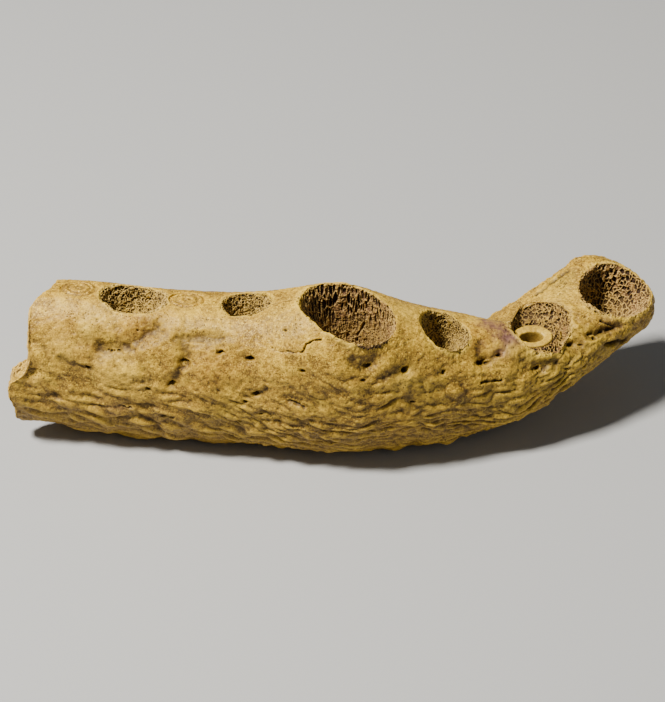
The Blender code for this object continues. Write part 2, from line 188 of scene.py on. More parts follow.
# Stains on the bone: colour name, pixel, radius and strength.
Stain = namedtuple("Stain", "colour px py radius strength")
STAINS = (
    Stain("lilac", 60, 303, 3.2, 0.2), Stain("lilac", 94, 311, 3.2, 0.25),
    Stain("lilac", 115, 412, 3.0, 0.35), Stain("lilac", 100, 401, 2.0, 0.25),
    Stain("lilac", 488, 321, 3.4, 1.0), Stain("lilac", 500, 329, 3.8, 1.0),
    Stain("lilac", 509, 337, 3.7, 1.0), Stain("lilac", 503, 352, 2.4, 0.8),
    Stain("lilac", 533, 348, 2.6, 1.0), Stain("lilac", 548, 350, 2.8, 1.0),
    Stain("lilac", 614, 320, 2.6, 0.5), Stain("lilac", 98, 355, 2.0, 0.2),
    Stain("lilac", 640, 322, 2.6, 0.3), Stain("lilac", 30, 380, 2.2, 0.25),
    Stain("pale", 530, 357, 2.4, 0.8), Stain("pale", 548, 357, 2.4, 0.8),
    Stain("pale", 514, 350, 2.0, 0.5), Stain("pale", 568, 342, 2.0, 0.6),
    Stain("olive", 556, 281, 4.0, 0.6), Stain("pale", 62, 303, 3.0, 0.5),
    Stain("pale", 95, 312, 3.0, 0.5),
    Stain("orange", 138, 328, 6.0, 0.7), Stain("orange", 162, 322, 5.0, 0.5),
    Stain("orange", 210, 372, 8.0, 0.5), Stain("orange", 62, 328, 5.0, 0.5),
    Stain("orange", 84, 350, 4.0, 0.4), Stain("orange", 480, 338, 4.5, 0.6),
    Stain("orange", 404, 420, 6.0, 0.45), Stain("orange", 548, 396, 6.0, 0.3),
    Stain("pale", 180, 318, 6.0, 0.4), Stain("pale", 215, 322, 6.0, 0.3),
    Stain("pale", 288, 316, 7.0, 0.35), Stain("pale", 408, 312, 5.0, 0.6),
    Stain("pale", 110, 316, 4.0, 0.4), Stain("pale", 560, 292, 6.0, 0.5),
    # The pale patches at 85, 331 and 405, 381 are painted highlights, on a lit hollow and on a
    # swelling.
    Stain("pale", 85, 331, 3.0, 1.0), Stain("pale", 118, 374, 7.0, 0.4),
    Stain("pale", 60, 345, 6.0, 0.4), Stain("pale", 405, 381, 3.0, 0.5),
    Stain("olive", 560, 375, 9.0, 0.9), Stain("olive", 515, 405, 9.0, 0.6),
    Stain("olive", 600, 352, 6.0, 0.7), Stain("olive", 228, 410, 7.0, 0.5),
    Stain("olive", 420, 405, 8.0, 0.4),
    Stain("umber", 342, 322, 6.0, 1.0), Stain("umber", 324, 314, 5.0, 0.9),
    Stain("umber", 352, 334, 4.0, 0.9), Stain("umber", 530, 316, 6.0, 1.0),
    Stain("umber", 552, 322, 5.0, 0.9),
    Stain("umber", 310, 400, 8.0, 0.6), Stain("umber", 420, 395, 9.0, 0.6),
    Stain("umber", 360, 420, 10.0, 0.4), Stain("umber", 520, 360, 4.5, 0.5),
    Stain("umber", 408, 369, 3.0, 0.6), Stain("umber", 470, 405, 8.0, 0.4),
)

# The lumps that the furrows part: width, length, the furrows' depth, a seed, and the girth
# below which they are full and above which they are gone.
Furrow = namedtuple("Furrow", "width length depth seed full gone")
FURROWS = (
    Furrow(2.8, 9.0, 1.15, 6, 20.0, 31.0), Furrow(1.5, 4.0, 0.4, 7, 20.0, 32.0),
    Furrow(3.2, 6.0, 0.95, 21, 34.0, 46.0), Furrow(1.7, 3.4, 0.36, 12, 34.0, 46.0),
    Furrow(4.4, 8.0, 0.45, 23, 42.0, 54.0),
)
# Rows narrower than this nearly vanish at the broken end.
FINE_FURROW = 2.0
# Behind SLANT_END they fall towards the keel, by SLANT for each unit along, and grow longer.
SLANT_END = 62.0
SLANT = 0.22
BACK_STRETCH = 0.3

# The furrows fade in and out over these girths, and are shallower round the keel.
RIBBED_FROM = (-24.0, -4.0)
RIBBED_TO = (53.0, 49.0)
KEEL_GIRTH = (12.0, 2.0)
KEEL_SHARE = 0.35

# The carved underside is lowered to this height over the floor, wholly below the second height
# and not at all above the first.
FLOOR_CLEARANCE = 0.02
LOWERED = (14.0, 2.0)

# The skin's mesh, and the rounds of smoothing that tell fine and broad relief apart.
VOXEL = 0.55
SMOOTHING_ROUNDS = 3
FINE_ROUNDS = 4
BROAD_ROUNDS = 45
ROOT_TURNS = 128
STUMP_ROWS = 48


# ------------------------------------------------------------- noise, at many points at once
LATTICE = 256
lattice_source = np.random.default_rng(4021)
SHUFFLE = lattice_source.permutation(LATTICE)
SLOPES = lattice_source.normal(size=(LATTICE, 3))
SLOPES /= np.linalg.norm(SLOPES, axis=1, keepdims=True)
JITTER = lattice_source.random((LATTICE, 3))


def lattice_pick(cell, seed):
    """A number from 0 to 255 for each lattice cell, scattered evenly."""
    mixed = SHUFFLE[(cell[:, 0] + seed) % LATTICE]
    mixed = SHUFFLE[(mixed + cell[:, 1]) % LATTICE]
    return SHUFFLE[(mixed + cell[:, 2]) % LATTICE]


def soft_noise(points, size, seed=0):
    """Smooth noise from about -1 to 1, whose lumps are the given size."""
    place = points / np.asarray(size, float)
    cell = np.floor(place).astype(np.int64)
    part = place - cell
    ease = part**3 * (part * (part * 6 - 15) + 10)
    total = np.zeros(len(points))
    for corner in product((0, 1), repeat=3):
        slope = SLOPES[lattice_pick(cell + corner, seed)]
        weight = np.prod(np.where(corner, ease, 1 - ease), axis=1)
        total += weight * ((part - corner) * slope).sum(axis=1)
    return total * 1.7


def layered_noise(points, size, seed=0, layers=3):
    """Soft noise with finer and weaker layers on top."""
    total = 0.0
    for layer in range(layers):
        share = 0.5**layer
        total = total + share * soft_noise(points, np.asarray(size) * share, seed + 17 * layer)
    return total


def scattered_cells(points, size, seed=0):
    """How far each point is from the wall of its cell, in cells, and a chance value per cell."""
    place = points / np.asarray(size, float)
    base = np.floor(place).astype(np.int64)
    first = np.full(len(points), 9.0)
    second = np.full(len(points), 9.0)
    chance = np.zeros(len(points))
    for step in product((-1, 0, 1), repeat=3):
        cell = base + step
        pick = lattice_pick(cell, seed)
        away = np.linalg.norm(cell + JITTER[pick] - place, axis=1)
        second = np.minimum(second, np.maximum(first, away))
        chance = np.where(away < first, pick / LATTICE, chance)
        first = np.minimum(first, away)
    return second - first, chance


def step_between(low, high, value):
    """0 at low and 1 at high, with a smooth rise between."""
    t = np.clip((value - low) / (high - low), 0.0, 1.0)
    return t * t * (3 - 2 * t)


# ------------------------------------------------------------- places on the bone
def to_bone(metres):
    return (metres / MM - BONE_ORIGIN) @ LEAN


def to_world(points):
    return (np.asarray(points) @ LEAN.T + BONE_ORIGIN) * MM


def middle_line():
    """The middle line as arc length, points and headings, evenly sampled and smoothed."""
    corners = np.array(MIDDLE_LINE)
    steps = np.hypot(*np.diff(corners, axis=0).T)
    reach = np.concatenate(((0.0,), np.cumsum(steps)))
    arc = np.arange(0.0, reach[-1], LINE_STEP)
    window = np.hanning(2 * LINE_SMOOTHING + 1)
    window /= window.sum()
    line = []
    for column in corners.T:
        values = np.interp(arc, reach, column)
        padded = np.pad(values, LINE_SMOOTHING, mode="reflect", reflect_type="odd")
        line.append(np.convolve(padded, window, mode="valid"))
    line = np.stack(line, axis=1)
    heading = np.gradient(line, axis=0)
    heading /= np.linalg.norm(heading, axis=1, keepdims=True)
    return arc, line, heading


ARC, LINE, HEADING = middle_line()


def bone_coordinates(points):
    """Along the bone, inward from its middle line, and round its girth from the keel."""
    along = points[:, 0] - LINE[0, 0]
    for _ in range(8):
        ahead = np.stack([np.interp(along, ARC, HEADING[:, i]) for i in range(2)], axis=1)
        middle = np.stack([np.interp(along, ARC, LINE[:, i]) for i in range(2)], axis=1)
        offset = points[:, :2] - middle
        along = along + (offset * ahead).sum(axis=1)
    inward = offset[:, 1] * ahead[:, 0] - offset[:, 0] * ahead[:, 1]
    waist = np.interp(points[:, 0], *zip(*WAIST_HEIGHT))
    girth = np.arctan2(-inward, waist - points[:, 2]) * GIRTH_RADIUS
    return along + LINE[0, 0], inward, girth


def socket_axes(socket):
    """The directions along the mouth, across it and up out of it, as columns."""
    tilt = Euler((radians(socket.outward), radians(socket.forward), 0.0)).to_matrix()
    return np.array(Matrix.Rotation(radians(socket.turn), 3, "Z") @ tilt)


def socket_place(points, socket):
    """Each point's share of the mouth's radius, its height over the rim and its bearing."""
    local = (points - np.array(socket[:3])) @ socket_axes(socket)
    x, y = local[:, 0] / socket.along, local[:, 1] / socket.across
    return np.hypot(x, y), local[:, 2], np.arctan2(y, x)


def eye_point():
    back = Vector((0.0, -cos(CAMERA_RISE), sin(CAMERA_RISE))) * CAMERA_DISTANCE * MM
    return Vector(to_world(AIM_POINT)) + back


def seen_points(pixels, tree):
    """Where the front view's pixels fall on the bone, in the bone's frame."""
    turn = Matrix.Rotation(pi / 2 - CAMERA_RISE, 3, "X")
    found = []
    for px, py in pixels:
        right = (px - AIM_PIXEL[0]) / FOCAL_PIXELS
        up = (AIM_PIXEL[1] - py) / FOCAL_PIXELS
        hit = tree.ray_cast(eye_point(), turn @ Vector((right, up, -1.0)))[0]
        if hit is None:
            raise ValueError(f"pixel {px}, {py} misses the bone")
        found.append(to_bone(np.array(hit)))
    return np.array(found)


def spots_on_bone(rows, tree):
    """Each row that is placed by a pixel, with its place on the bone."""
    return zip(rows, seen_points([(row.px, row.py) for row in rows], tree))


def line_distance(points, route):
    """Each point's distance to a line of straight stretches."""
    nearest = np.full(len(points), 99.0)
    for start, end in zip(route, route[1:]):
        span = end - start
        t = np.clip((points - start) @ span / (span @ span), 0.0, 1.0)
        away = np.linalg.norm(points - start - t[:, None] * span, axis=1)
        nearest = np.minimum(nearest, away)
    return nearest


# ------------------------------------------------------------- meshes
def link(obj):
    bpy.context.scene.collection.objects.link(obj)
    return obj


def baked_mesh(obj):
    """The object's mesh with its modifiers applied."""
    graph = bpy.context.evaluated_depsgraph_get()
    return bpy.data.meshes.new_from_object(obj.evaluated_get(graph))


def even_skin(node):
    """A copy of the CAD node, meshed in small even quads with its edges rounded."""
    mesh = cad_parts[node].data.copy()
    bm = bmesh.new()
    bm.from_mesh(mesh)
    bmesh.ops.remove_doubles(bm, verts=bm.verts, dist=0.01 * MM)
    bm.to_mesh(mesh)
    bm.free()
    mesh.materials.clear()
    rough = link(bpy.data.objects.new(node + "_rough", mesh))
    remesh = rough.modifiers.new("even_quads", "REMESH")
    remesh.mode = "VOXEL"
    remesh.voxel_size = VOXEL * MM
    smooth = rough.modifiers.new("worn_edges", "SMOOTH")
    smooth.factor = 0.5
    smooth.iterations = SMOOTHING_ROUNDS
    fine = rough.modifiers.new("fine_quads", "SUBSURF")
    fine.levels = 1
    skin = link(bpy.data.objects.new(node + "_skin", baked_mesh(rough)))
    bpy.data.objects.remove(rough)
    return skin


def quarter_faces(mesh, fine):
    """Cuts the faces whose corners are marked as fine into quarters."""
    bm = bmesh.new()
    bm.from_mesh(mesh)
    edges = [edge for edge in bm.edges if all(fine[vert.index] for vert in edge.verts)]
    bmesh.ops.subdivide_edges(bm, edges=edges, cuts=1, use_grid_fill=True)
    bm.to_mesh(mesh)
    bm.free()


def fine_places(points, tree):
    """Which points lie in a socket or close to a small mark."""
    fine = np.zeros(len(points), bool)
    for socket in SOCKETS.values():
        reach, height, _ = socket_place(points, socket)
        fine |= (reach < 1.25) & (height < 4.0) & (height > -socket.depth - 2.0)
    for spot, place in spots_on_bone(OPENINGS, tree):
        fine |= np.linalg.norm(points - place, axis=1) < 1.3 * spot.radius + 0.5
    for line in CRACKS + SLITS:
        fine |= line_distance(points, seen_points(line.route, tree)) < 1.5 * line.width + 0.8
    return fine


def read_points(mesh):
    """Vertex positions and normals in the bone's frame."""
    mesh.update()
    count = len(mesh.vertices)
    metres, normals = np.empty(count * 3), np.empty(count * 3, np.float32)
    mesh.vertices.foreach_get("co", metres)
    mesh.vertex_normals.foreach_get("vector", normals)
    return to_bone(metres.reshape(-1, 3)), normals.reshape(-1, 3) @ LEAN


def write_points(mesh, points):
    mesh.vertices.foreach_set("co", to_world(points).astype(np.float32).ravel())
    mesh.update()


def write_attribute(mesh, name, values):
    attribute = mesh.attributes.new(name, "FLOAT", "POINT")
    attribute.data.foreach_set("value", np.clip(values, 0.0, 1.0).astype(np.float32))


def mesh_edges(mesh):
    ends = np.empty(len(mesh.edges) * 2, np.int32)
    mesh.edges.foreach_get("vertices", ends)
    return ends.reshape(-1, 2)


def relief(points, normals, ends, rounds):
    """How far each point stands over its surroundings, below 0 in a hollow."""
    count = len(points)
    both = np.concatenate((ends[:, 0], ends[:, 1]))
    other = np.concatenate((ends[:, 1], ends[:, 0]))
    share = 1.0 / np.bincount(both, minlength=count)
    level = points.copy()
    for _ in range(rounds):
        around = [np.bincount(both, level[other, i], count) * share for i in range(3)]
        level = 0.5 * level + 0.5 * np.stack(around, axis=1)
    return ((points - level) * normals).sum(axis=1)


# ------------------------------------------------------------- the bone's surface
def broad_forms(points, tree):
    """Depth of the soft swellings and hollows between the nerve openings."""
    depth = 0.3 * soft_noise(points, (15.0, 14.0, 9.0), 3)
    depth += 0.22 * soft_noise(points, (6.5, 6.5, 4.5), 9) + 0.1 * soft_noise(points, 2.6, 10)
    for spot, place in spots_on_bone(HOLLOWS, tree):
        away = np.linalg.norm(points - place, axis=1) / spot.radius
        depth += spot.depth * np.exp(-away * away)
    return depth


def crooked(points, amount):
    """The points moved about a little, so that what is drawn on them is not regular."""
    coarse = np.stack([soft_noise(points, 2.4, 70 + i) for i in range(3)], axis=1)
    fine = np.stack([soft_noise(points, 1.6, 60 + i) for i in range(3)], axis=1)
    return points + amount * (coarse + fine)


def marks(points, tree):
    """Depth of the openings, slits, gutters and cracks, with the painted shade in them and the
    wider brown painted shade round them.
    """
    depth, dark, halo_shade = (np.zeros(len(points)) for _ in range(3))
    for spot, place in spots_on_bone(OPENINGS, tree):
        away = np.linalg.norm(points - place, axis=1)
        near = np.flatnonzero(away < 5.0 * spot.radius)
        bent = crooked(points[near], 0.4 * spot.radius)
        away = np.linalg.norm((bent - place) * OPENING_SHAPE, axis=1) / (0.9 * spot.radius)
        away = away + 0.3 * soft_noise(points[near], 0.9, 31)
        funnel = 0.6 * spot.radius * np.exp(-((away / 2.6) ** 2))
        depth[near] = np.maximum(depth[near], spot.depth * np.exp(-np.abs(away) ** 3) + funnel)
        # Painted shade inside the opening and, wider, round it.
        dark[near] = np.maximum(dark[near], 0.7 * np.exp(-np.abs(away * 1.1) ** 3))
        halo_shade[near] = np.maximum(halo_shade[near], 0.8 * np.exp(-((away / 2.0) ** 2)))
    # For each kind of line: the painted shade in it, the brown painted shade round it, and how
    # ragged it is.
    for lines, darkness, brown, ragged in ((CRACKS, 0.8, 0.2, 0.3), (SLITS, 0.6, 0.9, 0.3),
                                           (GUTTERS, 0.0, 0.85, 0.08)):
        for line in lines:
            route = seen_points(line.route, tree)
            near = np.flatnonzero(line_distance(points, route) < 4.0 * line.width + 1.0)
            away = line_distance(crooked(points[near], 0.3), route) / line.width
            away = away + ragged * soft_noise(points[near], 0.9, 31)
            depth[near] += line.depth * np.exp(-away * away)
            dark[near] = np.maximum(dark[near], darkness * np.exp(-away * away))
            halo_shade[near] = np.maximum(halo_shade[near], brown * np.exp(-((away / 1.5) ** 2)))
    return depth, dark, halo_shade


def furrows(points, along, girth):
    """Depth of the wavy furrows that run along the bone and part its surface into lumps."""
    zero = np.zeros(len(along))
    flat = np.stack((along, girth, zero), 1)
    drift = 2.2 * soft_noise(flat, (19.0, 13.0, 1.0), 5)
    drift = drift + 0.8 * soft_noise(flat, (7.0, 5.0, 1.0), 8)
    back = np.minimum(along - SLANT_END, 0.0)
    lane = girth + SLANT * back + drift
    reach = along - BACK_STRETCH * back + 0.6 * drift
    behind = step_between(66.0, 26.0, along)
    lane = lane * (1.0 - 0.38 * step_between(95.0, 48.0, along))
    edge = girth + 4.0 * soft_noise(points, 12.0, 13) + 1.5 * soft_noise(points, 5.0, 15)
    calm = 7.0 * np.exp(-(((along - 50.0) / 15.0) ** 2))
    edge = edge + calm - 9.0 * behind + 9.0 * step_between(140.0, 152.0, along)
    total = zero
    for row in FURROWS:
        place = np.stack((reach, lane, zero), 1)
        wave = np.abs(soft_noise(place, (row.length, row.width, 1.0), row.seed))
        crease = (1.0 - np.minimum(wave / 0.8, 1.0)) ** 1.05
        valley = step_between(0.75, 0.0, wave)
        strength = 0.75 + 0.5 * soft_noise(flat, (9.0, 6.0, 1.0), row.seed + 40)
        share = step_between(row.gone, row.full, edge) * strength
        if row.width < FINE_FURROW:
            share = share * (1.0 - 0.8 * behind)
        total = total + row.depth * share * (crease + (valley - crease) * behind)
    return total * (1.0 - 0.6 * step_between(148.0, 160.0, along))


def socket_out(points, socket):
    """The direction away from a socket's axis at each point."""
    away = points - np.array(socket[:3])
    axis = socket_axes(socket)[:, 2]
    away -= (away @ axis)[:, None] * axis
    return away / (np.linalg.norm(away, axis=1, keepdims=True) + 0.001)


def lining(points, normals, drawn_at):
    """The pores of each socket: depth, the painted shade in them, and the shares of its tints."""
    depth, dark = np.zeros(len(points)), np.zeros(len(points))
    tints = {name: np.zeros(len(points)) for name in ("marrow", "rose", "olive", "umber")}
    for number, socket in SOCKETS.items():
        style = LININGS[number]
        reach, height, _ = socket_place(points, socket)
        facing = (normals * socket_out(points, socket)).sum(axis=1)
        within = step_between(1.26, 1.16, reach) * step_between(1.2, 0.2, height)
        within *= step_between(0.35, 0.0, facing)
        within *= step_between(-socket.depth - 3.0, -socket.depth - 1.0, height)
        near = np.flatnonzero(within > 0.0)
        spot, within = drawn_at[near], within[near]
        floor = step_between(-0.35, -0.6, height[near] / socket.depth)
        size = np.array((1.0, 1.0, style.stretch)) * style.spacing
        bend = np.stack([soft_noise(spot, 1.7, 40 + i) for i in range(3)], axis=1)
        bend = (0.3 * bend + 0.2 * soft_noise(spot, 0.7, 44)[:, None]) / style.stretch
        bent = spot + style.spacing * bend
        wall, chance = scattered_cells(bent, size, number)
        pore = step_between(0.03, 0.24, wall) * step_between(0.05, 0.35, chance)
        pore *= (1.0 - (0.7 if number == 4 else 0.25) * floor) * within
        wall, chance = scattered_cells(bent, 0.6 * style.spacing, number + 20)
        pit = step_between(0.05, 0.35, wall) * step_between(0.2, 0.6, chance) * within
        lumps = 0.3 * soft_noise(spot, 3.0, 41) + 0.18 * soft_noise(spot, 1.3, 42)
        depth[near] += style.depth * pore + 0.22 * pit + lumps * within
        # Painted shade in the pores and pits.
        dark[near] = np.maximum(dark[near], np.maximum(pore, 0.7 * pit))
        tints["marrow"][near] = np.maximum(tints["marrow"][near], within)
        turned_olive = 0.55 * floor * (style.rose > 0.0)
        for name, share in (("rose", style.rose * (1.0 - turned_olive)),
                            ("olive", style.olive + turned_olive), ("umber", style.umber)):
            tints[name][near] = np.maximum(tints[name][near], within * share)
    return depth, dark, tints


def rim_of_sockets(points):
    """How near each point is to a socket's lip."""
    lip = np.zeros(len(points))
    for socket in SOCKETS.values():
        reach, height, _ = socket_place(points, socket)
        ring = step_between(1.32, 1.16, reach) * step_between(1.02, 1.12, reach)
        lip = np.maximum(lip, ring * step_between(-3.5, -1.0, height))
    return lip


def broken_end(normals, along):
    """How far each point belongs to the rough face where the bone broke."""
    return step_between(16.0, 13.0, along) * step_between(-0.3, -0.7, normals[:, 0])


def inner_faces(points, normals, along, inward):
    """Depth of the rough break, the rough joint with the left jaw and the tongue side's grain."""
    heading = radians(SYMPHYSIS_YAW)
    out = (points[:, :2] - np.array(SYMPHYSIS_POINT)) @ np.array((-sin(heading), cos(heading)))
    joint = step_between(-1.3, -0.3, out) * step_between(88.0, 95.0, along)
    rugged = layered_noise(points, (2.6, 2.6, 1.8), 80) + 0.4
    depth = joint * 0.45 * np.maximum(rugged, 0.0)

    behind = broken_end(normals, along)
    core = step_between(0.76, 0.58, np.hypot(inward / 13.0, (points[:, 2] - 21.0) / 20.0))
    near = np.flatnonzero(behind > 0.0)
    wall, chance = scattered_cells(points[near], 1.5, 81)
    hole = step_between(0.08, 0.35, wall) * step_between(0.15, 0.5, chance) * core[near]
    # Painted shade in the break's holes.
    dark = np.zeros(len(points))
    dark[near] = hole * behind[near]
    depth[near] += behind[near] * (0.5 * hole + 0.2 * (layered_noise(points[near], 1.6, 82) + 1.0))

    tongue = step_between(2.0, 7.0, inward) * (1.0 - joint) * (1.0 - behind)
    streak = soft_noise(points, (9.0, 9.0, 0.8), 84) + 0.6 * soft_noise(points, (4.0, 4.0, 0.5), 85)
    depth += 0.09 * tongue * (streak + 1.0)
    return depth, dark, np.maximum(joint, behind)


def shifted_lips(points, tree):
    """How far each point moves so that the sockets' lips lie where they should."""
    move = np.zeros_like(points)
    goals = seen_points([(row.to_px, row.to_py) for row in LIP_SHIFTS], tree)
    for (row, start), goal in zip(spots_on_bone(LIP_SHIFTS, tree), goals):
        across = goal - start
        across -= across[2] * np.array((0.0, 0.0, 0.6))
        away = np.linalg.norm(points - start, axis=1) / row.radius
        move += np.exp(-away * away)[:, None] * across
    return move


def packed_round_root(points, inside):
    """How far spongy bone stands up beside the hollow root, along the root's axis."""
    seat = ROOTS[2]
    reach, height, bearing = socket_place(points, seat)
    share = step_between(1.0, 1.06, reach) * step_between(2.3, 1.5, reach) * inside
    share *= step_between(1.0, 0.3, reach * np.sin(bearing))
    rise = np.clip(-0.1 - 0.5 * (reach - 1.1) - height, 0.0, 6.5) * share
    return rise[:, None] * socket_axes(seat)[:, 2]


def set_on_floor(points):
    """Lowers the carved underside, so that the bone touches the floor as its solid does."""
    height = to_world(points)[:, 2] / MM
    gap = height.min() - FLOOR_CLEARANCE
    lowered = points.copy()
    lowered[:, 2] -= gap * step_between(*LOWERED, height)
    return lowered


def dress_bone():
    skin = even_skin("dentary")
    mesh = skin.data
    tree = BVHTree.FromObject(skin, bpy.context.evaluated_depsgraph_get())
    points, _ = read_points(mesh)
    quarter_faces(mesh, fine_places(points, tree))
    points, normals = read_points(mesh)
    _, _, girth = bone_coordinates(points)

    _, _, tints = lining(points, normals, points)
    outside = 1.0 - tints["marrow"]
    cheek = step_between(-9.0, 3.0, girth)
    points = points - normals * (broad_forms(points, tree) * outside * cheek)[:, None]
    points = points + packed_round_root(points, tints["marrow"])
    write_points(mesh, points)
    points, normals = read_points(mesh)
    along, inward, girth = bone_coordinates(points)

    # The furrows wrap the keel and the cheek face, and stop at the tongue side.
    lip = rim_of_sockets(points)
    ribbed = step_between(*RIBBED_FROM, girth) * step_between(*RIBBED_TO, girth)
    ribbed *= outside * (1.0 - 0.8 * lip) * (1.0 - broken_end(normals, along))
    ribbed *= 1.0 - KEEL_SHARE * step_between(*KEEL_GIRTH, girth)
    carved = furrows(points, along, girth) * ribbed * (0.3 + 0.7 * step_between(5.0, 12.0, along))
    grainy = 0.14 + 0.08 * step_between(128.0, 142.0, along)
    carved += grainy * (layered_noise(points, 1.3, 11) + 1.0)
    near = np.flatnonzero(lip > 0.0)
    wall, chance = scattered_cells(points[near], 1.0, 90)
    rim_pit = np.zeros(len(points))
    rim_pit[near] = lip[near] * step_between(0.1, 0.4, wall) * step_between(0.6, 0.9, chance)
    carved += 0.3 * lip * soft_noise(points, 2.6, 16) + 0.22 * rim_pit
    mark_depth, mark_shade, halo_shade = marks(points, tree)
    move = shifted_lips(points, tree)
    pore_depth, pore_shade, tints = lining(points, normals, points + move)
    inner_depth, inner_shade, inner = inner_faces(points, normals, along, inward)
    carved += mark_depth + pore_depth + inner_depth

    points = set_on_floor(points + move - normals * carved[:, None])
    write_points(mesh, points)

    points, normals = read_points(mesh)
    ends = mesh_edges(mesh)
    fine = relief(points, normals, ends, FINE_ROUNDS)
    broad = relief(points, normals, ends, BROAD_ROUNDS)
    marrow = np.maximum(tints.pop("marrow"), inner)
    # The brown round the marks is painted shade, laid into the umber tint.
    tints["umber"] = np.maximum(tints["umber"], halo_shade * outside)
    # Painted shade in the broad hollows, a painted highlight on the ridges and painted shade in the
    # fine creases.
    write_attribute(mesh, "hollow", -broad / 0.4 * outside)
    write_attribute(mesh, "crest_highlight", broad / 0.35)
    write_attribute(mesh, "crease_shade", -fine / 0.07)
    # Painted shade in the pores, the break's holes and the pits round the rims.
    write_attribute(mesh, "pit", np.maximum(pore_shade, np.maximum(inner_shade, 0.7 * rim_pit)))
    # Painted shade in the openings, slits and cracks.
    write_attribute(mesh, "pore", mark_shade)
    # A painted highlight along the sockets' rims.
    write_attribute(mesh, "lip", lip)
    # Painted shade, darker towards the underside.
    keel = step_between(40.0, 12.0, girth) * step_between(-30.0, -10.0, girth)
    write_attribute(mesh, "keel", keel)
    write_attribute(mesh, "marrow", marrow)
    stains = dict(tints, **{name: np.zeros(len(points)) for name in ("lilac", "orange", "pale")})
    ragged = 0.5 * layered_noise(points, 3.0, 50)
    for spot, place in spots_on_bone(STAINS, tree):
        away = np.linalg.norm(points - place, axis=1) / spot.radius + ragged
        patch = spot.strength * np.exp(-np.maximum(away, 0.0) ** 2)
        stains[spot.colour] = np.maximum(stains[spot.colour], patch)
    for name, values in stains.items():
        write_attribute(mesh, name, values)
    # A painted highlight on the spongy lining's struts where they stand out, less where stained.
    stained = np.maximum(stains["umber"], stains["lilac"])
    strut_highlight = np.maximum(fine, 0.0) / 0.06 * (1.0 - 0.75 * stained)
    write_attribute(mesh, "strut_highlight", strut_highlight * np.maximum(marrow - 0.5 * inner, 0.0))
    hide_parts("dentary")
    return skin


# ------------------------------------------------------------- materials
def srgb(red, green, blue):
    """A colour of 0 to 255 as Blender's linear colour."""
    values = [channel / 255 for channel in (red, green, blue)]
    return (*[((v + 0.055) / 1.055) ** 2.4 if v > 0.04 else v / 12.92 for v in values], 1.0)


CREAM = srgb(250, 209, 80)
STRAW = srgb(223, 180, 54)
OCHRE = srgb(186, 143, 42)
TAN = srgb(138, 102, 34)
ORANGE = srgb(176, 122, 34)
UMBER = srgb(58, 39, 16)
# Painted shade in the openings, slits and cracks.
OPENING_SHADE = srgb(36, 24, 17)
OLIVE = srgb(158, 132, 38)
ROSE = srgb(118, 78, 54)
LILAC = srgb(112, 74, 72)
# Painted highlight on the spongy lining's struts.
STRUT_HIGHLIGHT = srgb(222, 184, 112)
# Painted shade in the pores and small holes.
PIT_SHADE = srgb(40, 25, 17)
# Painted shade towards the underside.
KEEL_SHADE = srgb(108, 82, 28)


class Shader:
    """Adds and joins the nodes of one material or group."""

    def __init__(self, tree):
        self.tree = tree

    def node(self, kind, inputs=None, **settings):
        made = self.tree.nodes.new(kind)
        for name, value in settings.items():
            setattr(made, name, value)
        for name, value in (inputs or {}).items():
            self.join(value, made.inputs[name])
        return made

    def join(self, value, socket):
        if isinstance(value, bpy.types.NodeSocket):
            self.tree.links.new(value, socket)
        else:
            socket.default_value = value

    def blend(self, share, first, second, mode="MIX"):
        made = self.node("ShaderNodeMix", data_type="RGBA", blend_type=mode)
        self.join(share, made.inputs[0])
        self.join(first, made.inputs[6])
        self.join(second, made.inputs[7])
        return made.outputs[2]

    def maths(self, operation, first, second=0.0, clamp=False):
        made = self.node("ShaderNodeMath", operation=operation, use_clamp=clamp)
        self.join(first, made.inputs[0])
        self.join(second, made.inputs[1])
        return made.outputs[0]

    def ranged(self, value, low, high, to_low=0.0, to_high=1.0):
        made = self.node("ShaderNodeMapRange", interpolation_type="SMOOTHSTEP")
        for name, number in zip(("Value", "From Min", "From Max", "To Min", "To Max"),
                                (value, low, high, to_low, to_high)):
            self.join(number, made.inputs[name])
        return made.outputs[0]

    def attribute(self, name):
        return self.node("ShaderNodeAttribute", attribute_name=name).outputs["Fac"]

    def noise(self, place, scale, detail=4.0, roughness=0.55, distortion=0.0):
        made = self.node(
            "ShaderNodeTexNoise",
            {"Vector": place, "Scale": scale, "Detail": detail, "Roughness": roughness,
             "Distortion": distortion},
        )
        return made.outputs["Fac"]


def new_group(name, inputs, outputs):
    """An empty node group with number inputs and typed outputs."""
    group = bpy.data.node_groups.new(name, "ShaderNodeTree")
    for label, value in inputs.items():
        socket = group.interface.new_socket(label, in_out="INPUT", socket_type="NodeSocketFloat")
        socket.default_value = value
    for label, kind in outputs.items():
        group.interface.new_socket(label, in_out="OUTPUT", socket_type=kind)
    shader = Shader(group)
    entry = group.nodes.new("NodeGroupInput")
    leave = group.nodes.new("NodeGroupOutput")
    return group, shader, entry.outputs, leave.inputs


